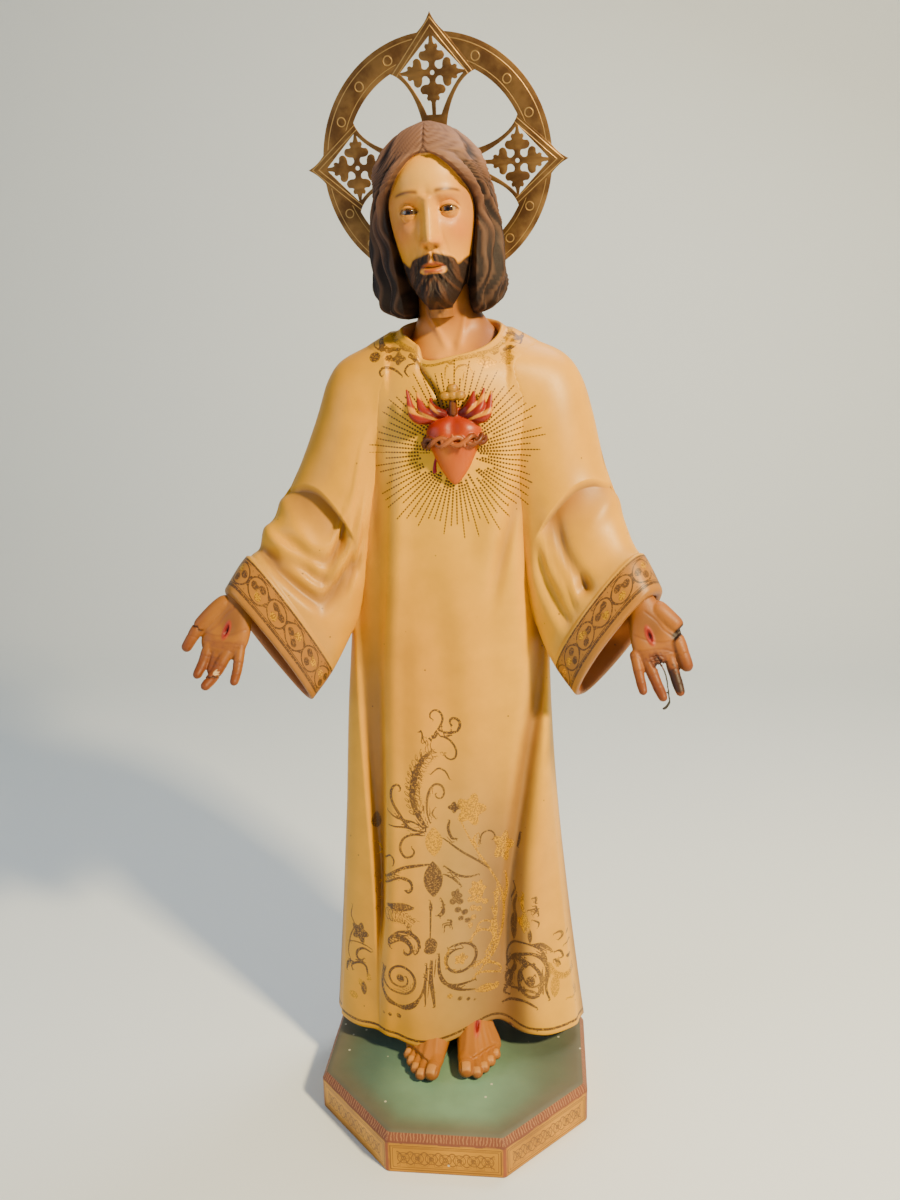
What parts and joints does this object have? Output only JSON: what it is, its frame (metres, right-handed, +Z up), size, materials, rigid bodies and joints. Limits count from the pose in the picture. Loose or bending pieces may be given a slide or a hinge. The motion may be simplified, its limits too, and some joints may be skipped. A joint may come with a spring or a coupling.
{
  "type": "sacred heart statue",
  "caption": "Painted devotional figure in a long robe with wide sleeves and open hands, a heart on the breast and a pierced halo, on an octagonal plinth.",
  "frame": {"origin": "centre of the plinth's underside", "axes": "+Z up, the figure faces -Y, its left hand towards +X"},
  "size_m": [0.3606, 0.208, 0.8053],
  "materials": {
    "plinth": "painted green top with gilded sides, worn",
    "robe": "cast wood-pulp paste, ochre paint with worn gold ornament",
    "head": "cast wood-pulp paste, painted skin and dark brown hair",
    "eye": "polished dark glass",
    "hand": "cast wood-pulp paste, painted skin, chipped",
    "halo": "aged brass sheet"
  },
  "bodies": {
    "root": {"plinth": "plinth", "robed_body": "robe", "head": "head", "right_eye": "eye", "left_eye": "eye", "right_hand": "hand", "left_hand": "hand", "halo": "halo"}
  },
  "joints": []
}
